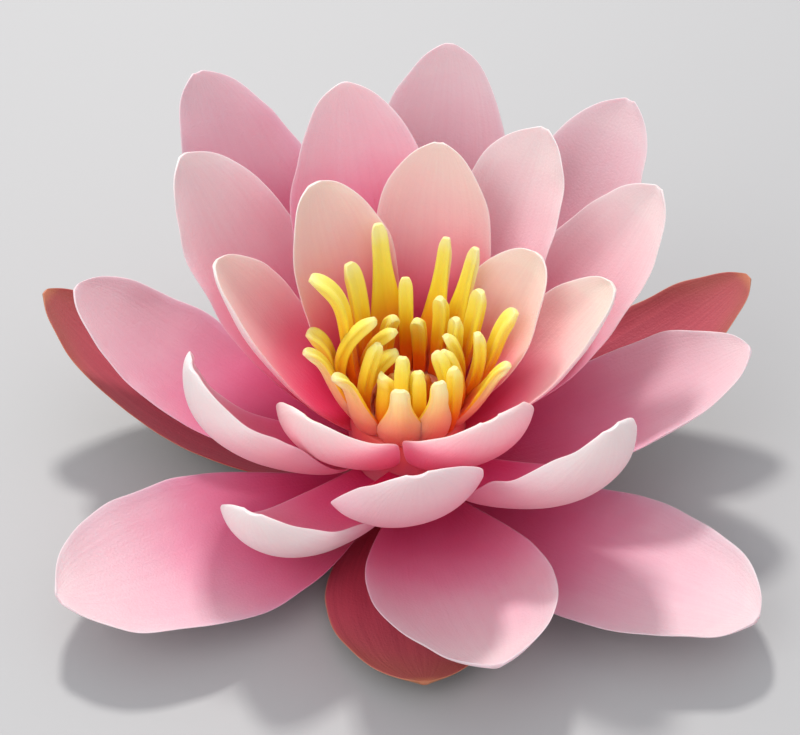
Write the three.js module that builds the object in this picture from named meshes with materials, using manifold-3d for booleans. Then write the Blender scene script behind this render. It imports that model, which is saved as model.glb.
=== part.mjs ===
// A pink hardy water lily bloom, picked with its stalk cut off short: four sepals, three whorls of petals,
// a ring of yellow stamens, and the cup-shaped pistil, all seated on one receptacle.
// Millimetres and degrees, +Z up. The origin is the middle of the cut face that the bloom rests on.
// Azimuth 0 is +X and turns anticlockwise seen from above; the bloom's front is azimuth 270.

import * as THREE from "three";
import { mergeVertices } from "three/addons/utils/BufferGeometryUtils.js";
import Module from "manifold-3d";

const wasm = await Module();
wasm.setup();

// ---------------------------------------------------------------- driving dimensions

const SEAT_GAP = 0.3; // clearance between the receptacle and each piece that it carries
const SINK = 1.6; // how far a petal's root reaches into the receptacle before it is trimmed to its seat
const RIM_THICK = 0.65; // every blade's thickness at its edge
const SECTION_ARC = 60; // half angle of the arc that all cross-sections share before they are scaled

// The receptacle, from the stalk's cut face up to the shoulder that carries the stamens.
const STALK_R = 5;
const OVARY_R = 11.2;
const SHOULDER_R = 10.4;
const SHOULDER_Z = 21;
const COLLAR_H = 2; // height of the collar that the stamens are rooted in

// The cup in the receptacle's top, and the stigma in it.
const CUP_R = 6.4;
const CUP_FLOOR_Z = 18;
const STIGMA_R = 5.6;
const HORNS = 10;

const LATHE_SIDES = 40;

const radians = THREE.MathUtils.degToRad;

// ---------------------------------------------------------------- the blade: petal, sepal or stamen

const smooth = (t, from, to) => THREE.MathUtils.smoothstep(t, from, to);

// Share of the half width at distance t along the blade: a claw, a broad middle and a rounded point.
function outline(t, { claw, widest, point, tipShare }) {
  const rise = claw + (1 - claw) * Math.sin((Math.PI / 2) * Math.min(t / widest, 1));
  const past = Math.max(0, (t - widest) / (1 - widest));
  return Math.max(t < widest ? rise : (1 - past * past) ** point, tipShare);
}

// How the midrib points at t: its pitch above the horizontal, and its yaw from the blade's azimuth.
function heading(t, { lift, bend, curl, sway }) {
  return {
    pitch: radians(lift + bend * (t - 0.5) + curl * smooth(t, 0.6, 1)),
    yaw: radians(sway * (t - 0.5)),
  };
}

function along({ pitch, yaw }) {
  return new THREE.Vector3(Math.sin(yaw) * Math.cos(pitch), Math.cos(yaw) * Math.cos(pitch), Math.sin(pitch));
}

// The midrib's place and the directions of a cross-section at each row from root to tip, with rows closer
// together near the tip.
function ribs(blade) {
  const STEPS = 200;
  const rows = [];
  const at = new THREE.Vector3(0, -blade.sink, 0);
  let walked = 0;
  for (let row = 0; row <= blade.rows; row += 1) {
    const t = Math.sin((Math.PI / 2) * (row / blade.rows));
    while (walked < t * STEPS - 1e-9) {
      const step = Math.min(1, t * STEPS - walked);
      const middle = heading((walked + step / 2) / STEPS, blade);
      at.addScaledVector(along(middle), (blade.length * step) / STEPS);
      walked += step;
    }
    const here = heading(t, blade);
    const side = new THREE.Vector3(Math.cos(here.yaw), -Math.sin(here.yaw), 0);
    const inward = new THREE.Vector3().crossVectors(side, along(here));
    const roll = radians(blade.roll) * smooth(t, 0, 0.45);
    rows.push({
      t,
      at: at.clone(),
      side: side.clone().multiplyScalar(Math.cos(roll)).addScaledVector(inward, Math.sin(roll)),
      inward: inward.clone().multiplyScalar(Math.cos(roll)).addScaledVector(side, -Math.sin(roll)),
    });
  }
  return rows;
}

// The blade's inner face as a grid of points, row by row from root to tip.
function innerFace(blade) {
  const arc = radians(SECTION_ARC);
  return ribs(blade).map(({ t, at, side, inward }) => {
    const half = (blade.width / 2) * outline(t, blade);
    const fold = blade.cup * (blade.cupRoot + (1 - blade.cupRoot) * smooth(t, 0, 0.5));
    const cup = radians(Math.max(fold, 1));
    const across = (half * Math.sin(cup)) / cup;
    const depth = (half * (1 - Math.cos(cup))) / cup;
    const points = [];
    for (let column = 0; column <= blade.columns; column += 1) {
      const u = (2 * column) / blade.columns - 1;
      const x = (across * Math.sin(arc * u)) / Math.sin(arc);
      const z = (depth * (1 - Math.cos(arc * u))) / (1 - Math.cos(arc));
      const wave = Math.sin(blade.waves * Math.PI * t + 2 * u + blade.azimuth);
      const ripple = blade.ripple * wave * u * u * smooth(t, 0.15, 0.5);
      points.push(at.clone().addScaledVector(side, x).addScaledVector(inward, z + ripple));
    }
    return points;
  });
}

// The outer face lies behind the inner one: fleshy along the midrib and the root, thin at the rim and tip.
function outerFace(inner, blade) {
  const lastRow = inner.length - 1;
  const lastColumn = inner[0].length - 1;
  return inner.map((line, row) =>
    line.map((point, column) => {
      const up = inner[Math.min(row + 1, lastRow)][column];
      const down = inner[Math.max(row - 1, 0)][column];
      const right = line[Math.min(column + 1, lastColumn)];
      const left = line[Math.max(column - 1, 0)];
      const normal = right.clone().sub(left).cross(up.clone().sub(down)).normalize();
      const u = (2 * column) / lastColumn - 1;
      const toTip = row / lastRow;
      const thick = RIM_THICK + (blade.thick - RIM_THICK) * (1 - u * u) * (1 - 0.55 * toTip * toTip);
      return point.clone().addScaledVector(normal, -thick);
    }),
  );
}

// A closed blade at its seat: both faces, split into triangles alike, and the rim between them.
function bladeGeometry(blade) {
  const inner = innerFace(blade);
  const rows = inner.length;
  const columns = inner[0].length;
  const back = rows * columns; // index of the outer face's first point
  const corner = (row, column) => row * columns + column;
  const index = [];
  for (let row = 0; row < rows - 1; row += 1) {
    for (let column = 0; column < columns - 1; column += 1) {
      const [a, b] = [corner(row, column), corner(row, column + 1)];
      const [c, d] = [corner(row + 1, column + 1), corner(row + 1, column)];
      index.push(a, b, c, a, c, d);
      index.push(back + a, back + c, back + b, back + a, back + d, back + c);
    }
  }
  const rim = [];
  for (let column = 0; column < columns; column += 1) rim.push(corner(0, column));
  for (let row = 1; row < rows; row += 1) rim.push(corner(row, columns - 1));
  for (let column = columns - 2; column >= 0; column -= 1) rim.push(corner(rows - 1, column));
  for (let row = rows - 2; row > 0; row -= 1) rim.push(corner(row, 0));
  rim.forEach((a, i) => {
    const b = rim[(i + 1) % rim.length];
    index.push(b, a, back + a, b, back + a, back + b);
  });
  const points = [...inner.flat(), ...outerFace(inner, blade).flat()];
  const geometry = new THREE.BufferGeometry().setFromPoints(points);
  geometry.setIndex(index);
  geometry.translate(0, blade.seatR, blade.seatZ);
  geometry.rotateZ(radians(blade.azimuth - 90));
  return geometry;
}

// ---------------------------------------------------------------- solids

function solidOf(geometry) {
  const bare = new THREE.BufferGeometry();
  const source = geometry.index ? geometry.toNonIndexed() : geometry;
  bare.setAttribute("position", source.getAttribute("position"));
  const merged = mergeVertices(bare, 1e-4);
  return new wasm.Manifold(
    new wasm.Mesh({
      numProp: 3,
      vertProperties: merged.attributes.position.array,
      triVerts: new Uint32Array(merged.index.array),
    }),
  );
}

function geometryOf(solid) {
  const { vertProperties, triVerts } = solid.getMesh();
  const geometry = new THREE.BufferGeometry();
  geometry.setAttribute("position", new THREE.BufferAttribute(vertProperties, 3));
  geometry.setIndex(new THREE.BufferAttribute(triVerts, 1));
  geometry.computeVertexNormals();
  return geometry;
}

// A solid of revolution about +Z through [radius, height] points.
function turned(points) {
  const profile = points.map(([r, z]) => new THREE.Vector2(r, z));
  return solidOf(new THREE.LatheGeometry(profile, LATHE_SIDES).rotateX(Math.PI / 2));
}

// The receptacle's outline, grown outwards all round by a clearance when it is used as a cutter.
const receptacleProfile = (grow) => [
  [0, -grow],
  [STALK_R + grow, -grow],
  [STALK_R + grow, 2],
  [OVARY_R - 2.6 + grow, 4.4],
  [OVARY_R - 0.8 + grow, 7.5],
  [OVARY_R + grow, 11.5],
  [OVARY_R + grow, 16],
  [SHOULDER_R + grow, SHOULDER_Z + grow],
  [CUP_R - grow, SHOULDER_Z + grow],
  [CUP_R - 0.6 - grow, CUP_FLOOR_Z + grow],
  [0, CUP_FLOOR_Z + grow],
];

const seatCutter = turned(receptacleProfile(SEAT_GAP));

// ---------------------------------------------------------------- whorls

const WHORLS = {
  sepal: {
    sink: SINK, thick: 1.7, claw: 0.26, widest: 0.5, point: 0.6, tipShare: 0.1, cupRoot: 0.5,
    ripple: 0.2, waves: 3, rows: 9, columns: 6, color: 0xb0595a,
  },
  outer: {
    sink: SINK, thick: 1.5, claw: 0.18, widest: 0.57, point: 0.56, tipShare: 0.08, cupRoot: 0.5,
    ripple: 0.3, waves: 3, rows: 10, columns: 6, color: 0xeeb4cb,
  },
  middle: {
    sink: SINK, thick: 1.4, claw: 0.22, widest: 0.57, point: 0.58, tipShare: 0.08, cupRoot: 0.5,
    ripple: 0.3, waves: 3, rows: 10, columns: 6, color: 0xec9dbb,
  },
  inner: {
    sink: SINK, thick: 1.3, claw: 0.34, widest: 0.57, point: 0.55, tipShare: 0.08, cupRoot: 0.5,
    ripple: 0.2, waves: 3, rows: 9, columns: 6, color: 0xf0a8b4,
  },
};

// Where each ring of blades leaves the receptacle, from the lowest ring to the highest: [radius, height].
const RINGS = {
  S: [7.9, 3.9],
  O0: [8.7, 5.3],
  O1: [9.3, 6.6],
  O2: [9.8, 8.2],
  O3: [10.6, 9.8],
  M1: [11, 12],
  M2: [11.2, 14.2],
  I1: [11.2, 16.4],
  I2: [11, 18.4],
  T1: [9.2, 21.6],
  T2: [8.5, 21.6],
  T3: [7.8, 21.6],
};

// Each blade in its whorl: where it points, how its midrib rises and turns, and how its sides fold.
const BLADES = [
  // name, whorl, ring, azimuth, lift, bend, curl, length, width, cup, roll, sway
  ["sepal_left", "sepal", "S", 159, 19, 60, 0, 77, 27, 25, 0, 0],
  ["sepal_right", "sepal", "S", 24, 21, 40, 0, 73, 27, 30, 0, 0],
  ["sepal_front", "sepal", "S", 273, 2, 26, 0, 48, 34, 6, 0, 0],
  ["sepal_back", "sepal", "S", 97, 4, 26, 0, 64, 30, 10, 0, 0],

  ["petal_outer_front_left", "outer", "O0", 213, 6, 28, 0, 68, 39, 25, 4, 0],
  ["petal_outer_front_right", "outer", "O0", 325, 4, 26, 0, 69, 37, 25, 0, 0],
  ["petal_outer_front", "outer", "O2", 284, 9, 38, 0, 55, 36, 35, 0, 0],
  ["petal_outer_left", "outer", "O2", 161, 23, 58, 0, 67, 30, 35, 0, 0],
  ["petal_outer_right", "outer", "O1", 6, 23, 40, 0, 63, 30, 35, 0, 0],
  ["petal_outer_back_right", "outer", "O1", 49, 41, 30, 0, 78, 31, 35, 0, 0],
  ["petal_outer_back_left", "outer", "O3", 129, 44, 30, 0, 78, 31, 35, 2, 0],
  ["petal_outer_back", "outer", "O3", 82, 48, 30, 0, 75, 30, 35, -4, 0],

  ["petal_middle_back_left", "middle", "M1", 147, 50, 34, 0, 64, 31, 35, 0, 0],
  ["petal_middle_right", "middle", "M1", 29, 43, 40, 0, 62, 28, 40, -6, 0],
  ["petal_middle_front_right", "middle", "M1", 325, 37, 90, 20, 54, 30, 50, 26, -24],
  ["petal_middle_front_left", "middle", "M1", 231, 23, 100, 20, 48, 29, 48, -22, 22],
  ["petal_middle_back", "middle", "M2", 106, 57, 25, 0, 63, 30, 40, 4, 0],
  ["petal_middle_back_right", "middle", "M2", 55, 52, 25, 0, 58, 28, 40, 8, 0],
  ["petal_middle_front", "middle", "M2", 273, 43, 85, 0, 48, 31, 44, -8, -10],
  ["petal_middle_left", "middle", "M2", 195, 40, 90, 20, 50, 32, 50, -24, 36],

  ["petal_inner_left", "inner", "I1", 169, 53, 30, 0, 44, 23, 45, 0, 0],
  ["petal_inner_back_right", "inner", "I1", 80, 61, 20, 0, 49, 25, 40, -4, 0],
  ["petal_inner_front_right", "inner", "I1", 5, 49, 30, 0, 43, 22, 45, -8, 0],
  ["petal_inner_front_left", "inner", "I1", 226, 47, 64, 20, 28, 29, 48, -16, 20],
  ["petal_inner_front", "inner", "I1", 309, 50, 64, 20, 27, 30, 48, 16, -20],
  ["petal_inner_back_left", "inner", "I2", 133, 69, 20, 0, 45, 26, 45, 0, 0],
  ["petal_inner_right", "inner", "I2", 28, 59, 20, 0, 35, 22, 45, -8, 0],
];

// The two kinds of stamen: the outer ones broad at the root like a small petal, the inner ones narrow straps.
const STAMENS = {
  broad: {
    sink: 0, thick: 1.5, claw: 0.9, widest: 0.12, point: 1.1, tipShare: 0.2,
    cup: 30, cupRoot: 1, ripple: 0, waves: 0, rows: 7, columns: 4, roll: 0,
  },
  narrow: {
    sink: 0, thick: 1.5, claw: 0.9, widest: 0.7, point: 0.45, tipShare: 0.3,
    cup: 20, cupRoot: 1, ripple: 0, waves: 0, rows: 7, columns: 2, roll: 0,
  },
};

const STAMEN_PLACES = [
  // kind, ring, azimuth, lift, bend, curl, length, width, sway
  ["broad", "T1", 107, 72, 10, 0, 31, 9, 0],
  ["broad", "T1", 69, 68, 10, 0, 28, 7, 0],
  ["broad", "T1", 51, 68, 10, 0, 28, 7, 10],
  ["broad", "T1", 345, 64, 30, -30, 18, 7, 0],
  ["broad", "T1", 190, 70, 30, -50, 20, 7, 0],
  ["broad", "T1", 216, 76, 20, -50, 18, 8, 20],
  ["broad", "T1", 264, 70, 16, 20, 18, 10, 0],
  ["broad", "T1", 294, 73, 16, 20, 18, 9, 0],
  ["narrow", "T2", 169, 84, 10, -62, 32, 4, 0],
  ["narrow", "T1", 136, 82, 10, -20, 27, 4, 0],
  ["narrow", "T1", 34, 73, 20, 0, 22, 4, 0],
  ["narrow", "T1", 13, 70, 50, -40, 23, 4, 0],
  ["narrow", "T1", 174, 74, 40, -60, 20, 4, 0],
  ["narrow", "T2", 5, 78, 50, 0, 18, 3, 0],
  ["narrow", "T2", 92, 80, 10, -20, 21, 3, 0],
  ["narrow", "T2", 58, 80, 10, 20, 19, 3, 0],
  ["narrow", "T2", 33, 85, 10, 0, 17, 3, 0],
  ["narrow", "T2", 180, 98, 100, 0, 24, 3, 0],
  ["narrow", "T2", 238, 104, 20, -50, 14, 4, 40],
  ["narrow", "T2", 320, 84, 30, 0, 16, 3, 0],
  ["narrow", "T3", 152, 108, 70, 0, 19, 3, 0],
  ["narrow", "T3", 192, 114, 70, 0, 16, 3, 0],
  ["narrow", "T3", 205, 98, 40, 0, 18, 3, 0],
  ["narrow", "T3", 262, 92, 20, 0, 19, 3, 0],
  ["narrow", "T3", 282, 90, 20, 0, 16, 3, 0],
  ["narrow", "T3", 326, 98, 50, 0, 17, 3, 0],
  ["narrow", "T3", 352, 98, 60, 0, 15, 3, 0],
  ["narrow", "T3", 18, 94, 60, 0, 16, 3, 0],
  ["narrow", "T3", 76, 96, 50, 0, 16, 3, 0],
  ["narrow", "T3", 116, 98, 60, 0, 18, 3, 0],
];

// ---------------------------------------------------------------- the bloom

// The collar that the stamens grow from, resting on the receptacle's shoulder.
function collar() {
  const [innerR, outerR] = [CUP_R + SEAT_GAP, SHOULDER_R - 0.2];
  const [bottom, top] = [SHOULDER_Z + SEAT_GAP, SHOULDER_Z + COLLAR_H];
  return turned([
    [innerR, bottom],
    [outerR, bottom],
    [outerR, top - 0.6],
    [outerR - 0.8, top],
    [innerR + 0.6, top],
    [innerR, top - 0.6],
    [innerR, bottom],
  ]);
}

function stamenRing() {
  return STAMEN_PLACES.reduce((ring, [kind, seat, azimuth, lift, bend, curl, length, width, sway]) => {
    const [seatR, seatZ] = RINGS[seat];
    const place = { seatR, seatZ, azimuth, lift, bend, curl, length, width, sway };
    return ring.add(solidOf(bladeGeometry({ ...STAMENS[kind], ...place })).subtract(seatCutter));
  }, collar());
}

// A shallow rayed disc on the cup's floor, with a horn at the end of each ray.
function stigma() {
  const bottom = CUP_FLOOR_Z + SEAT_GAP;
  const disc = turned([
    [0, bottom],
    [STIGMA_R - 1, bottom],
    [STIGMA_R, bottom + 1.1],
    [STIGMA_R, bottom + 2.3],
    [3.4, bottom + 1.5],
    [1.2, bottom + 1.3],
    [0, bottom + 2.3],
  ]);
  const horn = {
    ...STAMENS.narrow, thick: 1.4, claw: 1, widest: 0.3, point: 0.6, tipShare: 0.4, rows: 3,
    seatR: STIGMA_R - 2.2, seatZ: CUP_FLOOR_Z + 1.2,
    lift: 76, bend: 50, curl: 30, length: 7, width: 2, sway: 0,
  };
  let solid = disc;
  for (let i = 0; i < HORNS; i += 1) {
    solid = solid.add(solidOf(bladeGeometry({ ...horn, azimuth: (i * 360) / HORNS + 15 })));
  }
  return solid;
}

const bloom = new THREE.Group();

function addNode(name, solid, color, roughness) {
  const material = new THREE.MeshStandardMaterial({ color, roughness, metalness: 0 });
  const mesh = new THREE.Mesh(geometryOf(solid), material);
  mesh.name = name;
  bloom.add(mesh);
}

addNode("receptacle", turned(receptacleProfile(0)), 0xc9a184, 0.6);

for (const [name, whorl, seat, azimuth, lift, bend, curl, length, width, cup, roll, sway] of BLADES) {
  const [seatR, seatZ] = RINGS[seat];
  const place = { seatR, seatZ, azimuth, lift, bend, curl, length, width, cup, roll, sway };
  const blade = solidOf(bladeGeometry({ ...WHORLS[whorl], ...place }));
  addNode(name, blade.subtract(seatCutter), WHORLS[whorl].color, 0.5);
}

addNode("stamens", stamenRing(), 0xf6c445, 0.5);
addNode("stigma", stigma(), 0xd9702e, 0.5);

export default bloom;
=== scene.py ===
# %% [markdown]
# # A pink water lily bloom
# A water lily's bloom is made of one shape over and over: the blade. Four blades are sepals, twenty-three are
# petals, and the stamens are blades too, narrow ones that carry pollen. All of them are rooted in one fleshy
# receptacle. So this lesson models a single blade well, and then copies, bends and paints it for every place.
# The solid model of the same bloom is loaded first. It says how large everything is and where it sits.

# %% The solid model
import math

import bmesh
import bpy
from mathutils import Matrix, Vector


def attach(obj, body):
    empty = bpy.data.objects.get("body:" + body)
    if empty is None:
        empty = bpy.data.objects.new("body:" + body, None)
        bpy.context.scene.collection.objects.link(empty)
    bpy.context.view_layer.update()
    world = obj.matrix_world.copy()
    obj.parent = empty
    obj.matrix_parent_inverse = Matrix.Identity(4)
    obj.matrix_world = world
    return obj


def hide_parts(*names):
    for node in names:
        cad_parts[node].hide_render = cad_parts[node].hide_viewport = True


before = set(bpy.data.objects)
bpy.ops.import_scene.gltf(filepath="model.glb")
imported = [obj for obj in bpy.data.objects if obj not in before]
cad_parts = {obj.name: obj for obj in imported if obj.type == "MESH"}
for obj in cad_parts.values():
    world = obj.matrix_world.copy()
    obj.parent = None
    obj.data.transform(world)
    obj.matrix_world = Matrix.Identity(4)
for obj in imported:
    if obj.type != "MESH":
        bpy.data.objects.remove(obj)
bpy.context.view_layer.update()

MM = 0.001
print("solid pieces:", len(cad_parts))

# %% [markdown]
# ## The camera
# The camera comes first, because every later choice is judged through it. It stands in front of the bloom and
# looks down at 41 degrees, far enough away for the petals to keep their proportions. A long lens then brings
# the bloom close. The lens is worked out from how many pixels one millimetre should fill at that distance.

# %% The camera
PICTURE_W = 800
PX_PER_MM = 5.4
SENSOR_MM = 36
LOOK_DOWN = math.radians(41)
CAMERA_DISTANCE = 420 * MM
AIM = Vector((-1.5 * MM, 0, 31.5 * MM))

towards_camera = Vector((0, -math.cos(LOOK_DOWN), math.sin(LOOK_DOWN)))
bpy.ops.object.camera_add(
    location=AIM + CAMERA_DISTANCE * towards_camera,
    rotation=(math.radians(90) - LOOK_DOWN, 0, 0),
)
camera = bpy.context.object
camera.data.sensor_width = SENSOR_MM
camera.data.lens = SENSOR_MM * PX_PER_MM * (CAMERA_DISTANCE / MM) / PICTURE_W
bpy.context.scene.camera = camera
print("lens:", round(camera.data.lens, 1), "mm")

# %% [markdown]
# ## The studio
# A plain floor and clear light show the bloom without telling a story of their own. The main light is a small
# panel high behind the bloom, as the sun would be over a pond: it makes the rims glow, leaves the insides of
# the far petals in quiet shade and draws the petals' shadows with a soft edge. A wide, weaker panel in front
# and to the left opens those shadows, and so does a pale sky all round.
# The plain colour transform is chosen, because the stronger film-like one would wash out the pinks.

# %% The studio
def lamp(name, place, watts, width, colour):
    """A soft square panel that faces the middle of the bloom."""
    bpy.ops.object.light_add(type="AREA", location=place)
    light = bpy.context.object
    light.name = name
    light.data.energy = watts
    light.data.size = width
    light.data.color = colour
    light.rotation_euler = (Vector(place) - AIM).to_track_quat("Z", "Y").to_euler()


lamp("sun_panel", place=(-0.12, 0.6, 0.8), watts=6.2, width=0.12, colour=(1.0, 0.98, 0.95))
lamp("front_panel", place=(-0.6, -0.5, 0.7), watts=2.8, width=0.7, colour=(1.0, 0.98, 0.96))

world = bpy.data.worlds.new("studio_air")
bpy.context.scene.world = world
world.use_nodes = True
air = world.node_tree.nodes["Background"].inputs
air["Color"].default_value = (0.94, 0.95, 1.0, 1)
air["Strength"].default_value = 0.8
bpy.context.scene.view_settings.view_transform = "Standard"

# %% [markdown]
# ## Helpers for materials
# Colours are easiest to think of as the web writes them, so `paint` turns such a code into Blender's linear
# numbers. `add_node` makes a shader node and fills its inputs, from a number or from another node's output.

# %% Helpers for materials
def paint(code):
    """A linear colour from a web colour such as "ee9dbb"."""
    shares = [int(code[i : i + 2], 16) / 255 for i in (0, 2, 4)]
    linear = [s / 12.92 if s <= 0.04045 else ((s + 0.055) / 1.055) ** 2.4 for s in shares]
    return (*linear, 1.0)


def add_node(tree, kind, inputs=None, **settings):
    """A shader node; each input is a plain value or the output that feeds it."""
    made = tree.nodes.new(kind)
    for key, value in settings.items():
        setattr(made, key, value)
    for key, value in (inputs or {}).items():
        if isinstance(value, bpy.types.NodeSocket):
            tree.links.new(value, made.inputs[key])
        else:
            made.inputs[key].default_value = value
    return made


def maths(tree, operation, *values):
    """The output of a maths node."""
    made = add_node(tree, "ShaderNodeMath", dict(enumerate(values)), operation=operation)
    return made.outputs[0]


def noise(tree, vector, scale, detail):
    """The output of a noise node."""
    made = add_node(tree, "ShaderNodeTexNoise", {"Vector": vector, "Scale": scale, "Detail": detail})
    return made.outputs["Fac"]


def ramp(tree, value, stops):
    """A colour ramp's output; the stops are (place, web colour)."""
    made = add_node(tree, "ShaderNodeValToRGB", {"Fac": value})
    made.color_ramp.interpolation = "B_SPLINE"
    while len(made.color_ramp.elements) < len(stops):
        made.color_ramp.elements.new(0.5)
    for element, (place, code) in zip(made.color_ramp.elements, stops):
        element.position = place
        element.color = paint(code)
    return made.outputs["Color"]


def blend_colours(tree, share, under, over):
    """The output of a mix node: a share of the colour over, and the rest of the colour under it."""
    factor, colour_a, colour_b, result = 0, 6, 7, 2
    sockets = {factor: share, colour_a: under, colour_b: over}
    return add_node(tree, "ShaderNodeMix", sockets, data_type="RGBA").outputs[result]


def new_material(name):
    """A material with its tree of nodes and its shader."""
    material = bpy.data.materials.new(name)
    material.use_nodes = True
    tree = material.node_tree
    return material, tree, tree.nodes["Principled BSDF"]


# %% The floor
floor_paint, _, floor_shader = new_material("floor_paint")
floor_shader.inputs["Base Color"].default_value = (0.44, 0.44, 0.44, 1)
floor_shader.inputs["Roughness"].default_value = 0.6

bpy.ops.mesh.primitive_plane_add(size=6)
floor = bpy.context.object
floor.name = "floor"
floor.data.materials.append(floor_paint)
print("floor:", [round(side, 2) for side in floor.dimensions], "m")

# %% [markdown]
# ## Petal skin
# A petal's colour runs along its length: crimson at the root, clear pink in the middle, and almost white or
# peach at the tip. It also fades towards the rim. One could paint this by hand, but the blade's own map gives
# both directions for free: V runs from root to tip, and U from one rim to the other. A colour ramp on V,
# pushed outwards near the rim and by a little slow noise, gives every petal the family's look.
# An attribute called `pale` is added to V too. Each petal carries one number in it, and a higher one draws
# the pink back towards the root. These numbers are painted light and shade: a petal that stands in the light
# is painted paler, and one that stands in shade is painted a deeper pink, so no two petals are painted quite
# alike.
# Fine veins are noise stretched along V. A soft scattering under the surface lets the thin tissue glow.

# %% Colour along a blade
LIGHT_SHADE_ATTRIBUTE = "pale"
DRIFT = 0.16
VEINS_ACROSS = 38.0
VEINS_ALONG = 2.2


def blade_colour(tree, where, along, aside, stops, fade):
    """The colour ramp, pushed towards the tip near the rim, by slow noise and by the petal's paleness, its
    painted light and shade.
    """
    slow = noise(tree, where.outputs["Object"], scale=70.0, detail=2.0)
    drift = maths(tree, "MULTIPLY_ADD", slow, DRIFT, -DRIFT / 2)
    faded = maths(tree, "MULTIPLY_ADD", maths(tree, "POWER", aside, 2.0), fade, along)
    # Each petal's paleness is its painted light and shade.
    pale = add_node(tree, "ShaderNodeAttribute", attribute_name=LIGHT_SHADE_ATTRIBUTE).outputs["Fac"]
    return ramp(tree, maths(tree, "ADD", maths(tree, "ADD", faded, pale), drift), stops)


def blade_veins(tree, where):
    """Noise stretched along the blade, from 0 between the veins to 1 on them."""
    stretch = add_node(
        tree, "ShaderNodeMapping",
        {"Vector": where.outputs["UV"], "Scale": (VEINS_ACROSS, VEINS_ALONG, 1.0)},
    )
    streaks = noise(tree, stretch.outputs["Vector"], scale=1.0, detail=4.0)
    made = add_node(tree, "ShaderNodeMapRange", {"Value": streaks, "From Min": 0.42, "From Max": 0.66})
    return made.outputs["Result"]


def blade_rim(tree, along, aside, rim_from):
    """0 inside the blade, rising to 1 at its margin and its tip."""
    made = add_node(
        tree, "ShaderNodeMapRange",
        {"Value": maths(tree, "MAXIMUM", aside, along), "From Min": rim_from, "From Max": 1.0},
        interpolation_type="SMOOTHSTEP",
    )
    return made.outputs["Result"]


# %% A blade's whole skin
def blade_skin(
    name, stops, vein, vein_share=0.06, rim=None, rim_share=0.15, rim_from=0.97, fade=0.07,
    glow=0.45, bleed=(1.0, 0.5, 0.55), roughness=0.5,
):
    """A skin of living tissue for one face of a blade."""
    material, tree, shader = new_material(name)
    where = add_node(tree, "ShaderNodeTexCoord")
    split = add_node(tree, "ShaderNodeSeparateXYZ", {"Vector": where.outputs["UV"]})
    along = split.outputs["Y"]
    aside = maths(tree, "ABSOLUTE", maths(tree, "MULTIPLY_ADD", split.outputs["X"], 2.0, -1.0))

    veins = blade_veins(tree, where)
    colour = blade_colour(tree, where, along, aside, stops, fade)
    colour = blend_colours(tree, maths(tree, "MULTIPLY", veins, vein_share), colour, paint(vein))
    if rim:
        edge = maths(tree, "MULTIPLY", blade_rim(tree, along, aside, rim_from), rim_share)
        colour = blend_colours(tree, edge, colour, paint(rim))
    tree.links.new(colour, shader.inputs["Base Color"])

    grain = noise(tree, where.outputs["Object"], scale=2100.0, detail=3.0)
    height = maths(tree, "MULTIPLY_ADD", veins, 0.3, grain)
    bump = add_node(tree, "ShaderNodeBump", {"Height": height, "Strength": 0.5, "Distance": 0.16 * MM})
    tree.links.new(bump.outputs["Normal"], shader.inputs["Normal"])

    shader.inputs["Roughness"].default_value = roughness
    shader.inputs["Specular IOR Level"].default_value = 0.4
    shader.inputs["Subsurface Weight"].default_value = glow
    shader.inputs["Subsurface Radius"].default_value = bleed
    shader.inputs["Subsurface Scale"].default_value = 2.2 * MM
    shader.inputs["Sheen Weight"].default_value = 0.12
    shader.inputs["Sheen Roughness"].default_value = 0.4
    return material


# %% The skins of the four whorls, inside and back
PETAL_SKINS = {
    # The outer whorl's inside is greyer and darker towards the tip than the other whorls': painted shade, for
    # the outer petals at the back that stand in shade.
    "outer": (
        blade_skin(
            "petal_outer_inside",
            [(0.0, "bc1450"), (0.25, "d23a72"), (0.46, "dc7499"), (0.66, "dfa9b9"), (0.95, "e4c8cb")],
            vein="d4688f", rim="f6e2e6",
        ),
        blade_skin(
            "petal_outer_back",
            [(0.0, "d4708f"), (0.25, "e3a0b4"), (0.6, "ebc2cc"), (1.0, "efd2d6")],
            vein="da92ac", rim="f5e2e6",
        ),
    ),
    "middle": (
        blade_skin(
            "petal_middle_inside",
            [(0.0, "d0125a"), (0.24, "e44482"), (0.44, "ec86a8"), (0.64, "efb8c4"), (0.95, "f3dbd9")],
            vein="da6a8c", rim="f9e8e6",
        ),
        blade_skin(
            "petal_middle_back",
            [(0.0, "e0437a"), (0.28, "ee7fa0"), (0.52, "f4b8c3"), (0.78, "f8dadb"), (1.0, "faeae6")],
            vein="e59ab3", rim="fbeeee",
        ),
    ),
    "inner": (
        blade_skin(
            "petal_inner_inside",
            [(0.0, "e41c50"), (0.26, "f04480"), (0.45, "f4829f"), (0.64, "f5bcbe"), (0.95, "f6e0d2")],
            vein="de7391", rim="fcf0e8",
        ),
        blade_skin(
            "petal_inner_back",
            [(0.0, "e9487c"), (0.3, "f283a4"), (0.55, "f6b9c4"), (0.8, "fadcdc"), (1.0, "fbe8e2")],
            vein="e88fa8", rim="fcf0ea",
        ),
    ),
    "sepal": (
        blade_skin(
            "sepal_inside",
            [(0.0, "a81c34"), (0.3, "c03450"), (0.6, "c64c62"), (0.85, "c05862"), (1.0, "ac5c50")],
            vein="942a40", vein_share=0.25, rim="cf8a5e", rim_share=0.6, rim_from=0.965, fade=0.2, glow=0.2,
            roughness=0.45,
        ),
        blade_skin(
            "sepal_back",
            [(0.0, "7c6a3c"), (0.4, "86683f"), (0.8, "8a6040"), (1.0, "7a5a34")],
            vein="7d3f34", vein_share=0.5, rim="b5714a", rim_share=0.9, rim_from=0.93, fade=0.2, glow=0.1,
            roughness=0.4,
        ),
    ),
}
print("skins:", [material.name for pair in PETAL_SKINS.values() for material in pair])

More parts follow.
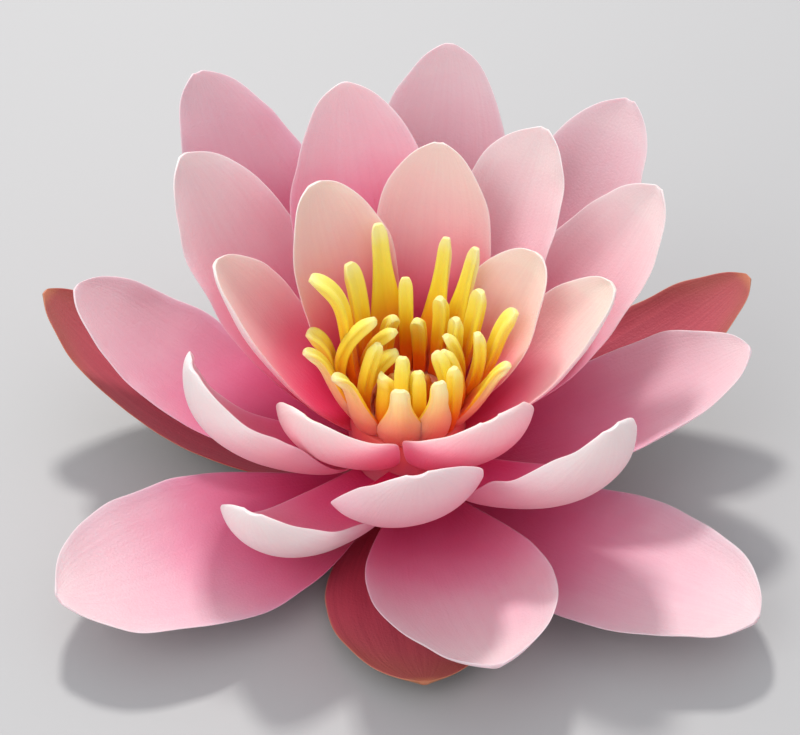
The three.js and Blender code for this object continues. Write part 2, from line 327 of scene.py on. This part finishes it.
# %% [markdown]
# ## Working by hand, in code
# Every mesh below is made with the same tools that the Blender window offers. An operator acts on whatever is
# selected, so each step first picks its points and then moves, scales or turns them. With no window open,
# the turn operator runs backwards, so `turn` hands it the opposite angle.

# %% Selecting
def only(piece):
    """Selects one object and nothing else."""
    if bpy.context.object and bpy.context.object.mode != "OBJECT":
        bpy.ops.object.mode_set(mode="OBJECT")
    bpy.ops.object.select_all(action="DESELECT")
    piece.select_set(True)
    bpy.context.view_layer.objects.active = piece


def pick(piece, numbers):
    """In edit mode, selects the points with these numbers."""
    bpy.ops.mesh.select_all(action="DESELECT")
    mesh = bmesh.from_edit_mesh(piece.data)
    mesh.verts.ensure_lookup_table()
    for number in numbers:
        mesh.verts[number].select = True
    mesh.select_flush_mode()
    bmesh.update_edit_mesh(piece.data)


# %% Moving and finishing
def move(x, y, z):
    """Moves what is selected."""
    bpy.ops.transform.translate(value=(x, y, z))


def scale(x, y, z, about):
    """Resizes what is selected, about a place."""
    bpy.ops.transform.resize(value=(x, y, z), center_override=about)


def turn(angle, axis, about):
    """Turns what is selected, about an axis through a place."""
    if angle:
        bpy.ops.transform.rotate(
            value=-angle, orient_axis=axis, orient_type="GLOBAL", center_override=about
        )


def finish(piece, kind, **settings):
    """Adds a modifier and applies it."""
    only(piece)
    modifier = piece.modifiers.new(kind.lower(), kind)
    for key, value in settings.items():
        setattr(modifier, key, value)
    bpy.ops.object.modifier_apply(modifier=modifier.name)


def smoothstep(value, low, high):
    """0 up to low, 1 from high on, and a soft slope between them."""
    share = min(max((value - low) / (high - low), 0), 1)
    return share * share * (3 - 2 * share)


# %% [markdown]
# ## The gutter: the start of every blade
# A blade starts as a flat grid. Its lengthwise lines are moved onto a third of a circle, so that it becomes a
# gutter, and its cross rows are crowded towards the tip, where the outline turns fastest. Its map's V is set
# to the real share of the length. Two weights are kept with the points: `flesh` is high along the midrib and
# says how thick the blade will be, and `margin` is high at the rims and says how much it may ripple.

# %% The gutter
SECTION_ARC = math.radians(60)


def share_along(row, rows):
    """Share of the length at a cross row; the rows crowd towards the tip."""
    return math.sin(math.pi / 2 * row / rows)


def gutter(name, columns, rows):
    """A straight gutter, 2 wide and 2 long, as the start of a blade."""
    bpy.ops.mesh.primitive_grid_add(x_subdivisions=columns, y_subdivisions=rows, size=2)
    piece = bpy.context.object
    piece.name = name
    piece["columns"], piece["rows"] = columns, rows
    for corner in piece.data.uv_layers.active.data:
        corner.uv.y = share_along(corner.uv.y, 1)

    bpy.ops.object.mode_set(mode="EDIT")
    for column in range(columns + 1):
        u = 2 * column / columns - 1
        pick(piece, range(column, (columns + 1) * (rows + 1), columns + 1))
        x = math.sin(SECTION_ARC * u) / math.sin(SECTION_ARC)
        z = (1 - math.cos(SECTION_ARC * u)) / (1 - math.cos(SECTION_ARC))
        move(x - u, 0, z)
    for row in range(rows + 1):
        pick(piece, range(row * (columns + 1), (row + 1) * (columns + 1)))
        move(0, share_along(row, rows) - (2 * row / rows - 1), 0)
    bpy.ops.object.mode_set(mode="OBJECT")
    return piece


def weigh(piece, group, weight):
    """Fills a vertex group from each point's place across (u, -1 to 1) and along (t, 0 to 1)."""
    columns, rows = piece["columns"], piece["rows"]
    made = piece.vertex_groups.new(name=group)
    for number in range((columns + 1) * (rows + 1)):
        u = 2 * (number % (columns + 1)) / columns - 1
        t = share_along(number // (columns + 1), rows)
        made.add([number], weight(u, t), "REPLACE")


# %% The petals' gutter
def petal_flesh(u, t):
    """Thick along the midrib, thinner towards the tip."""
    return (1 - u * u) * (1 - 0.55 * t * t)


def petal_margin(u, t):
    """Most at the rims of the upper half, and less again at the tip."""
    across = 0.15 + 0.85 * u * u
    return across * smoothstep(t, 0.2, 0.6) * (1 - 0.7 * smoothstep(t, 0.85, 1))


petal_gutter = gutter("petal_gutter", columns=10, rows=18)
weigh(petal_gutter, "flesh", petal_flesh)
weigh(petal_gutter, "margin", petal_margin)
print("gutter points:", len(petal_gutter.data.vertices))

# %% [markdown]
# ## From gutter to blade
# Each row of the gutter becomes one cross-section of the blade. It is scaled to the blade's width and depth
# there, turned with the midrib and moved onto it. The midrib is a walk of short steps, which rises and turns
# evenly, so a blade is told by a few plain facts: how steeply it lifts, how far it bends and sways, how long
# and wide it is, how deeply it is cupped, and how far one side rolls over.
# The cup grows from the root and opens a little at the tip. Where a deep cup narrows to its point its rows
# crowd and crease, so the smoothing tool evens out the last of them, as a thumb would in clay.

# %% The outline and the midrib
WALK = 200
ALMOST_THERE = 1e-9


def outline(t, shape):
    """Share of the half width at t: a claw, a broad middle and a rounded point."""
    rise = shape["claw"] + (1 - shape["claw"]) * math.sin(math.pi / 2 * min(t / shape["widest"], 1))
    past = max(0, (t - shape["widest"]) / (1 - shape["widest"]))
    return max(rise if t < shape["widest"] else (1 - past * past) ** shape["point"], shape["tip_share"])


def heading(t, shape):
    """The midrib's pitch and yaw at t."""
    curl = shape["curl"] * smoothstep(t, 0.6, 1)
    pitch = shape["lift"] + shape["bend"] * (t - 0.5) + curl
    return math.radians(pitch), math.radians(shape["sway"] * (t - 0.5))


def midrib(shape, rows):
    """For each row: its t, its place on the midrib, and the pitch and yaw there."""
    at = Vector((0, -shape["sink"] * MM, 0))
    walked = 0.0
    for row in range(rows + 1):
        t = share_along(row, rows)
        while walked < t * WALK - ALMOST_THERE:
            step = min(1.0, t * WALK - walked)
            pitch, yaw = heading((walked + step / 2) / WALK, shape)
            level = math.cos(pitch)
            ahead = Vector((math.sin(yaw) * level, math.cos(yaw) * level, math.sin(pitch)))
            at = at + ahead * (shape["length"] * MM * step / WALK)
            walked += step
        yield row, t, at, *heading(t, shape)


# %% From gutter to blade
TIP_OPENS = 0.4
DEEP_CUP = 42


def cup_at(t, shape):
    """Half the angle that the cross-section spans at t."""
    grown = shape["cup_root"] + (1 - shape["cup_root"]) * smoothstep(t, 0, 0.5)
    opened = 1 - TIP_OPENS * smoothstep(t, 0.86, 1)
    return math.radians(max(shape["cup"] * grown * opened, 1))


def bend_gutter(start, name, shape):
    """A copy of the gutter, shaped and put in its place on the receptacle."""
    piece = start.copy()
    piece.data = start.data.copy()
    piece.name = piece.data.name = name
    bpy.context.collection.objects.link(piece)
    only(piece)
    bpy.ops.object.mode_set(mode="EDIT")
    width = start["columns"] + 1
    for row, t, at, pitch, yaw in midrib(shape, start["rows"]):
        half = shape["width"] * MM / 2 * shape["outline"](t, shape)
        cup = cup_at(t, shape)
        here = Vector((0, t, 0))
        pick(piece, range(row * width, (row + 1) * width))
        scale(half * math.sin(cup) / cup, 1, half * (1 - math.cos(cup)) / cup, here)
        turn(-math.radians(shape["roll"]) * smoothstep(t, 0, 0.45), "Y", here)
        turn(pitch, "X", here)
        turn(-yaw, "Z", here)
        move(*(at - here))
    bpy.ops.mesh.select_all(action="SELECT")
    move(0, shape["seat_r"] * MM, shape["seat_z"] * MM)
    turn(math.radians(shape["azimuth"] - 90), "Z", (0, 0, 0))
    bpy.ops.object.mode_set(mode="OBJECT")
    return piece


def relax_tip(piece, cup):
    """Evens out the last three rows, so that the tip closes without a dent."""
    only(piece)
    bpy.ops.object.mode_set(mode="EDIT")
    width = piece["columns"] + 1
    pick(piece, range((piece["rows"] - 2) * width, (piece["rows"] + 1) * width))
    bpy.ops.mesh.vertices_smooth(factor=0.5, repeat=12 if cup > DEEP_CUP else 2)
    bpy.ops.object.mode_set(mode="OBJECT")


# %% [markdown]
# ## Giving the sheet its flesh
# The bent sheet is the blade's inner face. Subdivision smooths it, a cloud texture ripples its margins a
# little, and Solidify grows the flesh behind it, thick on the midrib and thin at the rim, with the back skin
# on the new face. A last subdivision rounds the rim. Petals and stamens share these last two steps.

# %% Giving the sheet its flesh
RIM_THICK = 0.22  # mm

ripple = bpy.data.textures.new("ripple", "CLOUDS")
ripple.noise_scale = 12 * MM
ripple.noise_depth = 1
ripple.cloud_type = "COLOR"


def grow_flesh(piece, thick, rim_share):
    """Flesh behind the sheet, with the back skin on it, and a rounded rim."""
    finish(
        piece, "SOLIDIFY", thickness=thick * MM, offset=-1, vertex_group="flesh",
        thickness_vertex_group=rim_share, material_offset=1, material_offset_rim=0,
    )
    finish(piece, "SUBSURF", levels=1, render_levels=1)


def flesh_out(piece, shape, skins):
    """Makes a petal or a sepal of its bent sheet."""
    for skin in skins:
        piece.data.materials.append(skin)
    finish(piece, "SUBSURF", levels=1, render_levels=1)
    finish(
        piece, "DISPLACE", texture=ripple, texture_coords="LOCAL", mid_level=0.5,
        strength=shape["ripple"] * MM, vertex_group="margin", direction="RGB_TO_XYZ",
    )
    grow_flesh(piece, shape["thick"], RIM_THICK / shape["thick"])
    only(piece)
    bpy.ops.object.shade_smooth()


# %% [markdown]
# ## The whorls
# Petals leave the receptacle in rings, the lowest first. The steeper a petal stands, the higher its ring, so
# that no petal passes through its neighbour. Lengths are in millimetres and angles in degrees; the azimuth
# counts from the right and turns anticlockwise seen from above, so the front of the bloom is at 270.

# %% The whorls
PETAL = dict(sink=1.6, cup_root=0.5, widest=0.57, tip_share=0.04, outline=outline)
SEPAL = {**PETAL, "widest": 0.5, "tip_share": 0.05}

WHORLS = {
    "sepal": dict(SEPAL, thick=1.7, claw=0.26, point=0.6, ripple=1.6),
    "outer": dict(PETAL, thick=1.5, claw=0.18, point=0.56, ripple=2.0),
    "middle": dict(PETAL, thick=1.4, claw=0.22, point=0.58, ripple=2.0),
    "inner": dict(PETAL, thick=1.3, claw=0.34, point=0.55, ripple=1.6),
}

# The rings of roots: radius and height in millimetres.
RINGS = {
    "S": (7.9, 3.9), "O0": (8.7, 5.3), "O1": (9.3, 6.6), "O2": (9.8, 8.2), "O3": (10.6, 9.8),
    "M1": (11, 12), "M2": (11.2, 14.2), "I1": (11.2, 16.4), "I2": (11, 18.4),
    "T1": (9.2, 21.6), "T2": (8.5, 21.6), "T3": (7.8, 21.6),
}

# How far each petal's pink draws back to its root, as a share of its length; a petal that isn't named has 0.
# These are painted light and shade: petals that stand in the light are painted paler, and those in shade
# deeper.
LIGHT_AND_SHADE_BY_PETAL = {
    "petal_middle_front_left": 0.04,
    "petal_middle_front_right": 0.02,
    "petal_middle_left": 0.04,
    "petal_middle_front": -0.16,
    "petal_middle_back_right": 0.08,
    "petal_middle_right": 0.05,
    "petal_middle_back": -0.14,
    "petal_inner_right": 0.1,
    "petal_inner_front_right": 0.1,
    "petal_inner_front": -0.1,
    "petal_inner_front_left": -0.04,
    "petal_inner_back_right": -0.05,
    "petal_outer_front": 0.06,
    "petal_outer_front_right": 0.02,
    "petal_outer_left": -0.04,
    "petal_outer_back_left": -0.1,
    "petal_outer_back": 0.04,
    "petal_outer_back_right": 0.04,
}

# %% Every petal and sepal: its name, whorl and ring, and then these facts
FACTS = ("azimuth", "lift", "bend", "curl", "length", "width", "cup", "roll", "sway")

BLADES = [
    ("sepal_left", "sepal", "S", 159, 19, 60, 0, 77, 27, 25, 0, 0),
    ("sepal_right", "sepal", "S", 24, 21, 40, 0, 73, 27, 30, 0, 0),
    ("sepal_front", "sepal", "S", 273, 2, 26, 0, 48, 34, 6, 0, 0),
    ("sepal_back", "sepal", "S", 97, 4, 26, 0, 64, 30, 10, 0, 0),
    ("petal_outer_front_left", "outer", "O0", 213, 6, 28, 0, 68, 39, 25, 4, 0),
    ("petal_outer_front_right", "outer", "O0", 325, 4, 26, 0, 69, 37, 25, 0, 0),
    ("petal_outer_front", "outer", "O2", 284, 9, 38, 0, 55, 36, 35, 0, 0),
    ("petal_outer_left", "outer", "O2", 161, 23, 58, 0, 67, 30, 35, 0, 0),
    ("petal_outer_right", "outer", "O1", 6, 23, 40, 0, 63, 30, 35, 0, 0),
    ("petal_outer_back_right", "outer", "O1", 49, 41, 30, 0, 78, 31, 35, 0, 0),
    ("petal_outer_back_left", "outer", "O3", 129, 44, 30, 0, 78, 31, 35, 2, 0),
    ("petal_outer_back", "outer", "O3", 82, 48, 30, 0, 75, 30, 35, -4, 0),
    ("petal_middle_back_left", "middle", "M1", 147, 50, 34, 0, 64, 31, 35, 0, 0),
    ("petal_middle_right", "middle", "M1", 29, 43, 40, 0, 62, 28, 40, -6, 0),
    ("petal_middle_front_right", "middle", "M1", 325, 37, 90, 20, 54, 30, 50, 26, -24),
    ("petal_middle_front_left", "middle", "M1", 231, 23, 100, 20, 48, 29, 48, -22, 22),
    ("petal_middle_back", "middle", "M2", 106, 57, 25, 0, 63, 30, 40, 4, 0),
    ("petal_middle_back_right", "middle", "M2", 55, 52, 25, 0, 58, 28, 40, 8, 0),
    ("petal_middle_front", "middle", "M2", 273, 43, 85, 0, 48, 31, 44, -8, -10),
    ("petal_middle_left", "middle", "M2", 195, 40, 90, 20, 50, 32, 50, -24, 36),
    ("petal_inner_left", "inner", "I1", 169, 53, 30, 0, 44, 23, 45, 0, 0),
    ("petal_inner_back_right", "inner", "I1", 80, 61, 20, 0, 49, 25, 40, -4, 0),
    ("petal_inner_front_right", "inner", "I1", 5, 49, 30, 0, 43, 22, 45, -8, 0),
    ("petal_inner_front_left", "inner", "I1", 226, 47, 64, 20, 28, 29, 48, -16, 20),
    ("petal_inner_front", "inner", "I1", 309, 50, 64, 20, 27, 30, 48, 16, -20),
    ("petal_inner_back_left", "inner", "I2", 133, 69, 20, 0, 45, 26, 45, 0, 0),
    ("petal_inner_right", "inner", "I2", 28, 59, 20, 0, 35, 22, 45, -8, 0),
]


# %% Making the petals and sepals
def shape_of(kind, ring, names, facts):
    """All that bend_gutter needs to know about one blade."""
    seat_r, seat_z = RINGS[ring]
    return dict(kind, seat_r=seat_r, seat_z=seat_z, **dict(zip(names, facts)))


def paint_petal_light_and_shade(blade, share):
    """Keeps with the mesh how far this petal's pink draws back towards its root: its painted light and shade.
    """
    kept = blade.data.attributes.new(LIGHT_SHADE_ATTRIBUTE, "FLOAT", "POINT")
    kept.data.foreach_set("value", [share] * len(blade.data.vertices))


for name, whorl, ring, *facts in BLADES:
    shape = shape_of(WHORLS[whorl], ring, FACTS, facts)
    blade = bend_gutter(petal_gutter, "skin_" + name, shape)
    relax_tip(blade, shape["cup"])
    flesh_out(blade, shape, PETAL_SKINS[whorl])
    # Paints this petal's light and shade into its colour.
    paint_petal_light_and_shade(blade, LIGHT_AND_SHADE_BY_PETAL.get(name, 0))
    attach(blade, "root")
    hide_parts(name)
bpy.data.objects.remove(petal_gutter)
print("petals and sepals:", len(BLADES))

# %% [markdown]
# ## Stamens
# A stamen is a blade too, only narrow and fleshy: a flat stalk below, and above it two lengthwise lobes, the
# anther, with a groove between them. So it starts from a gutter of its own, and a third weight, `anther`,
# says where the lobes swell. The outer stamens are broad at the root and coral there, halfway to being
# petals; the inner ones are slim, and bend in over the cup.

# %% Stamen skins
POLLEN = dict(vein_share=0.12, fade=0.0, glow=0.6, bleed=(1.0, 0.85, 0.3), roughness=0.45)
CORAL = dict(POLLEN, vein_share=0.15, bleed=(1.0, 0.7, 0.4))

STAMEN_SKINS = {
    "broad": (
        blade_skin(
            "stamen_broad_inside",
            [
                (0.0, "f6404c"), (0.26, "fd7c40"), (0.42, "ffb41c"), (0.58, "ffe22e"), (0.9, "fff066"),
                (1.0, "fff8b4"),
            ],
            vein="fbb41e", **POLLEN,
        ),
        blade_skin(
            "stamen_broad_back",
            [(0.0, "fc9a84"), (0.25, "fdbc94"), (0.55, "fed89c"), (0.8, "fff09a"), (1.0, "fffcc0")],
            vein="fac27e", **CORAL,
        ),
    ),
    "narrow": (
        blade_skin(
            "stamen_narrow_inside",
            [
                (0.0, "ff460c"), (0.3, "ff7404"), (0.46, "ffb414"), (0.66, "ffe232"), (0.92, "fff068"),
                (1.0, "fff6a8"),
            ],
            vein="fbae10", **POLLEN,
        ),
        blade_skin(
            "stamen_narrow_back",
            [
                (0.0, "ff4e0e"), (0.3, "ff8208"), (0.48, "ffba18"), (0.7, "ffe43a"), (0.92, "fff068"),
                (1.0, "fff6a8"),
            ],
            vein="fbae10", **POLLEN,
        ),
    ),
}
print("stamen skins:", [material.name for pair in STAMEN_SKINS.values() for material in pair])

# %% The stamen's gutter
LOBE_U = 0.55
LOBE_HALF = 0.4


def stamen_flesh(u, t):
    """Thick along the middle, thinner at the end."""
    return (1 - u * u) * (1 - 0.5 * smoothstep(t, 0.9, 1))


def anther_lobes(u, t):
    """Two lengthwise swellings on the upper half, with a groove between them."""
    across = max(0, 1 - ((abs(u) - LOBE_U) / LOBE_HALF) ** 2)
    return across * smoothstep(t, 0.3, 0.45) * (1 - smoothstep(t, 0.88, 1))


stamen_gutter = gutter("stamen_gutter", columns=6, rows=10)
weigh(stamen_gutter, "flesh", stamen_flesh)
weigh(stamen_gutter, "anther", anther_lobes)
print("stamen gutter points:", len(stamen_gutter.data.vertices))

# %% The two kinds of stamen
END_FROM = 0.91
END_ROUND = 0.9


def strap(t, shape):
    """Share of the half width of a stamen at t: its stalk, its anther and a round end."""
    share = shape["stalk"] + (shape["anther"] - shape["stalk"]) * smoothstep(t, *shape["shoulder"])
    end = max(0, (t - END_FROM) / (1 - END_FROM))
    return share * math.sqrt(1 - END_ROUND * end * end)


STRAP = dict(sink=0, cup_root=1, roll=0, outline=strap)

STAMENS = {
    "broad": dict(STRAP, thick=1.8, cup=30, lobe=0.45, stalk=1, anther=0.4, shoulder=(0.1, 0.85)),
    "narrow": dict(STRAP, thick=2.1, cup=20, lobe=0.35, stalk=0.7, anther=1, shoulder=(0.2, 0.5)),
}

# %% Every stamen: its kind and ring, and then these facts
STAMEN_FACTS = ("azimuth", "lift", "bend", "curl", "length", "width", "sway")

STAMEN_PLACES = [
    ("broad", "T1", 107, 72, 10, 0, 31, 9, 0),
    ("broad", "T1", 69, 68, 10, 0, 28, 7, 0),
    ("broad", "T1", 51, 68, 10, 0, 28, 7, 10),
    ("broad", "T1", 345, 64, 30, -30, 18, 7, 0),
    ("broad", "T1", 190, 70, 30, -50, 20, 7, 0),
    ("broad", "T1", 216, 76, 20, -50, 18, 8, 20),
    ("broad", "T1", 264, 70, 16, 20, 18, 10, 0),
    ("broad", "T1", 294, 73, 16, 20, 18, 9, 0),
    ("narrow", "T2", 169, 84, 10, -62, 32, 4, 0),
    ("narrow", "T1", 136, 82, 10, -20, 27, 4, 0),
    ("narrow", "T1", 34, 73, 20, 0, 22, 4, 0),
    ("narrow", "T1", 13, 70, 50, -40, 23, 4, 0),
    ("narrow", "T1", 174, 74, 40, -60, 20, 4, 0),
    ("narrow", "T2", 5, 78, 50, 0, 18, 3, 0),
    ("narrow", "T2", 92, 80, 10, -20, 21, 3, 0),
    ("narrow", "T2", 58, 80, 10, 20, 19, 3, 0),
    ("narrow", "T2", 33, 85, 10, 0, 17, 3, 0),
    ("narrow", "T2", 180, 98, 100, 0, 24, 3, 0),
    ("narrow", "T2", 238, 104, 20, -50, 14, 4, 40),
    ("narrow", "T2", 320, 84, 30, 0, 16, 3, 0),
    ("narrow", "T3", 152, 108, 70, 0, 19, 3, 0),
    ("narrow", "T3", 192, 114, 70, 0, 16, 3, 0),
    ("narrow", "T3", 205, 98, 40, 0, 18, 3, 0),
    ("narrow", "T3", 262, 92, 20, 0, 19, 3, 0),
    ("narrow", "T3", 282, 90, 20, 0, 16, 3, 0),
    ("narrow", "T3", 326, 98, 50, 0, 17, 3, 0),
    ("narrow", "T3", 352, 98, 60, 0, 15, 3, 0),
    ("narrow", "T3", 18, 94, 60, 0, 16, 3, 0),
    ("narrow", "T3", 76, 96, 50, 0, 16, 3, 0),
    ("narrow", "T3", 116, 98, 60, 0, 18, 3, 0),
]


# %% Making the stamens
def stamen(number, kind, ring, facts):
    """One stamen at its place in the ring."""
    shape = shape_of(STAMENS[kind], ring, STAMEN_FACTS, facts)
    piece = bend_gutter(stamen_gutter, f"stamen_{number}", shape)
    for skin in STAMEN_SKINS[kind]:
        piece.data.materials.append(skin)
    finish(piece, "SUBSURF", levels=1, render_levels=1)
    finish(piece, "DISPLACE", mid_level=0, strength=shape["lobe"] * MM, vertex_group="anther")
    grow_flesh(piece, shape["thick"], rim_share=0.3)
    return piece


stamens = [stamen(number, kind, ring, facts) for number, (kind, ring, *facts) in enumerate(STAMEN_PLACES)]
print("stamens:", len(stamens))

# %% [markdown]
# ## Rings by hand
# The round pieces are a lathe's work. By hand that is a circle, extruded upwards again and again, with each
# new ring resized to its radius. The first ring is closed with a face and the last is drawn together into the
# pole, so that the piece has no opening.

# %% Rings by hand
def rings(name, sides, profile, close=True):
    """A round piece through (radius, height) pairs in millimetres."""
    (radius, height), *rest = profile
    bpy.ops.mesh.primitive_circle_add(vertices=sides, radius=radius * MM)
    piece = bpy.context.object
    piece.name = name
    bpy.ops.object.mode_set(mode="EDIT")
    move(0, 0, height * MM)
    if close:
        bpy.ops.mesh.edge_face_add()
        bpy.ops.mesh.select_mode(type="VERT")
    for next_radius, next_height in rest:
        bpy.ops.mesh.extrude_region_move()
        move(0, 0, (next_height - height) * MM)
        scale(next_radius / radius, next_radius / radius, 1, (0, 0, 0))
        radius, height = next_radius, next_height
    if close:
        bpy.ops.mesh.merge(type="CENTER")
    bpy.ops.mesh.select_all(action="SELECT")
    bpy.ops.mesh.remove_doubles(threshold=0.01 * MM)
    bpy.ops.mesh.normals_make_consistent(inside=False)
    bpy.ops.object.mode_set(mode="OBJECT")
    return piece


def join(name, pieces):
    """Makes several pieces one smooth object."""
    only(pieces[0])
    for piece in pieces:
        piece.select_set(True)
    bpy.ops.object.join()
    joined = bpy.context.object
    joined.name = joined.data.name = name
    bpy.ops.object.shade_smooth()
    return joined


# %% [markdown]
# ## The collar under the stamens
# Real stamens grow close together out of the top of the receptacle. Here a soft ring runs round under all
# thirty roots and holds them as one piece. Its profile ends where it starts, so the ring is closed by merging
# its first and last points, and needs neither a face nor a pole.

# %% The collar
COLLAR_PROFILE = [
    (6.9, 21.3), (10.2, 21.3), (10.4, 22.2), (9.4, 23.2), (7.4, 23.2), (6.8, 22.4), (6.9, 21.3),
]

collar = rings("collar", 40, COLLAR_PROFILE, close=False)
collar.data.materials.append(STAMEN_SKINS["broad"][1])
finish(collar, "SUBSURF", levels=1, render_levels=1)
stamen_ring = join("skin_stamens", [*stamens, collar])
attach(stamen_ring, "root")
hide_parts("stamens")
print("stamen ring points:", len(stamen_ring.data.vertices))

# %% [markdown]
# ## The cup and its stigma
# In the middle of the stamens the receptacle is hollowed into a shallow cup, and the stigma lines it: a disc
# with one low ray for each seed chamber, and a horn at each ray's end that leans in over the cup. The disc is
# a round piece whose rays are lifted point by point. Each horn is a short copy of the stamen's gutter.

# %% The stigma's disc
RAYS = 10
RAY_FROM = 1.1 * MM
RAY_HEIGHT = 0.5 * MM
DISC_TOP = 19.5 * MM
STIGMA_R = 5.6
DISC_PROFILE = [
    (STIGMA_R - 1, 18.3), (STIGMA_R, 19.3), (STIGMA_R, 20.4), (4.8, 20.3), (3.6, 19.8), (2.4, 19.6),
    (1.2, 19.8), (0.5, 20.4),
]

stigma_skin = blade_skin(
    "stigma_flesh", [(0.0, "f0500e"), (0.4, "fa7a10"), (0.8, "ffb02a"), (1.0, "ffdc8a")],
    vein="c8401c", vein_share=0.2, fade=0.0, glow=0.3, roughness=0.4,
)


def on_ray(point, angle):
    """Whether a point lies on top of the disc, along the line at this angle."""
    outwards = point.x * math.cos(angle) + point.y * math.sin(angle)
    aside = point.y * math.cos(angle) - point.x * math.sin(angle)
    return point.z > DISC_TOP and outwards > RAY_FROM and abs(aside) < 0.05 * MM


disc = rings("disc", 4 * RAYS, DISC_PROFILE)
only(disc)
bpy.ops.object.mode_set(mode="EDIT")
for ray in range(RAYS):
    angle = 2 * math.pi * ray / RAYS
    points = bmesh.from_edit_mesh(disc.data).verts
    pick(disc, [point.index for point in points if on_ray(point.co, angle)])
    move(0, 0, RAY_HEIGHT)
bpy.ops.object.mode_set(mode="OBJECT")
disc.data.materials.append(stigma_skin)
finish(disc, "SUBSURF", levels=2, render_levels=2)
print("disc points:", len(disc.data.vertices))

# %% The stigma's horns
HORN = dict(
    STRAP, thick=1.5, cup=20, stalk=1, anther=0.6, shoulder=(0.3, 0.9),
    lift=76, bend=50, curl=30, length=7, width=2.2, sway=0, seat_r=STIGMA_R - 2.2, seat_z=19.2,
)
HORN_TURN = 15


def horn(number):
    """One horn, at its place on the disc."""
    azimuth = 360 * number / RAYS + HORN_TURN
    piece = bend_gutter(stamen_gutter, f"horn_{number}", dict(HORN, azimuth=azimuth))
    for _ in ("inside", "back"):
        piece.data.materials.append(stigma_skin)
    grow_flesh(piece, HORN["thick"], rim_share=0.4)
    return piece


stigma = join("skin_stigma", [disc, *(horn(number) for number in range(RAYS))])
bpy.data.objects.remove(stamen_gutter)
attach(stigma, "root")
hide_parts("stigma")
print("stigma points:", len(stigma.data.vertices))

# %% [markdown]
# ## The receptacle and its cut stalk
# Everything sits on the receptacle, a fleshy barrel that narrows to the stalk. The bloom was picked, so the
# stalk ends in a clean cut. A water lily's stalk is full of air: four wide channels and a ring of fine ones,
# which are drilled here with thin cylinders, as one would with a real drill.

# %% The skins of the receptacle and of the cut
RECEPTACLE_H = 21 * MM
BLOTCHES = 0.3


def receptacle_skin():
    """Green-brown at the stalk, coral at the top, with soft blotches."""
    material, tree, shader = new_material("receptacle_flesh")
    where = add_node(tree, "ShaderNodeTexCoord")
    height = add_node(tree, "ShaderNodeSeparateXYZ", {"Vector": where.outputs["Object"]}).outputs["Z"]
    blotch = noise(tree, where.outputs["Object"], scale=260.0, detail=3.0)
    drift = maths(tree, "MULTIPLY_ADD", blotch, BLOTCHES, -BLOTCHES / 2)
    colour = ramp(
        tree, maths(tree, "MULTIPLY_ADD", height, 1 / RECEPTACLE_H, drift),
        [(0.0, "8a9458"), (0.2, "a9925f"), (0.45, "cf7482"), (0.8, "e0607c"), (1.0, "f0806e")],
    )
    tree.links.new(colour, shader.inputs["Base Color"])
    bump = add_node(tree, "ShaderNodeBump", {"Height": blotch, "Strength": 0.5, "Distance": 0.4 * MM})
    tree.links.new(bump.outputs["Normal"], shader.inputs["Normal"])
    shader.inputs["Roughness"].default_value = 0.5
    shader.inputs["Subsurface Weight"].default_value = 0.2
    shader.inputs["Subsurface Radius"].default_value = (1.0, 0.45, 0.3)
    shader.inputs["Subsurface Scale"].default_value = 2 * MM
    return material


def cut_skin():
    """Pale green flesh, with its cells just showing."""
    material, tree, shader = new_material("cut_stalk_flesh")
    where = add_node(tree, "ShaderNodeTexCoord")
    cells = add_node(tree, "ShaderNodeTexVoronoi", {"Vector": where.outputs["Object"], "Scale": 1400.0})
    colour = ramp(tree, cells.outputs["Distance"], [(0.0, "e4e0b4"), (0.6, "cfd09a"), (1.0, "a8ad6e")])
    tree.links.new(colour, shader.inputs["Base Color"])
    shader.inputs["Roughness"].default_value = 0.35
    shader.inputs["Subsurface Weight"].default_value = 0.3
    shader.inputs["Subsurface Scale"].default_value = 1.5 * MM
    return material


# %% The receptacle's body
RECEPTACLE_PROFILE = [
    (5, 0), (5, 2), (6.8, 3.2), (8.6, 4.4), (10.4, 7.5), (11.2, 11.5), (11.2, 16), (10.4, 21), (8, 21.2),
    (6.4, 21), (5.9, 18.2), (3, 18), (0.6, 18),
]

FLESH, CUT = 0, 1

receptacle = rings("skin_receptacle", 48, RECEPTACLE_PROFILE)
for skin in (receptacle_skin(), cut_skin()):
    receptacle.data.materials.append(skin)
for face in receptacle.data.polygons:
    face.material_index = CUT if face.normal.z < -0.9 else FLESH
finish(receptacle, "BEVEL", width=0.3 * MM, segments=2, limit_method="ANGLE", angle_limit=math.radians(50))
print("receptacle rings:", len(RECEPTACLE_PROFILE))

# %% The air channels
WIDE_CHANNELS = (4, 2.1, 0.95)
FINE_CHANNELS = (12, 3.9, 0.32)

channels = []
for count, ring_r, hole_r in (WIDE_CHANNELS, FINE_CHANNELS):
    for number in range(count):
        angle = 2 * math.pi * (number + 0.5) / count
        bpy.ops.mesh.primitive_cylinder_add(
            vertices=16, radius=hole_r * MM, depth=6 * MM,
            location=(ring_r * MM * math.cos(angle), ring_r * MM * math.sin(angle), 0),
        )
        bpy.ops.object.transform_apply(location=True, rotation=True, scale=True)
        channels.append(bpy.context.object)
print("air channels:", len(channels))
drill = join("drill", channels)
finish(receptacle, "BOOLEAN", object=drill, operation="DIFFERENCE", solver="EXACT")
bpy.data.objects.remove(drill)
only(receptacle)
bpy.ops.object.shade_smooth_by_angle(angle=math.radians(40))
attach(receptacle, "root")
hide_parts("receptacle")
print("receptacle points:", len(receptacle.data.vertices))
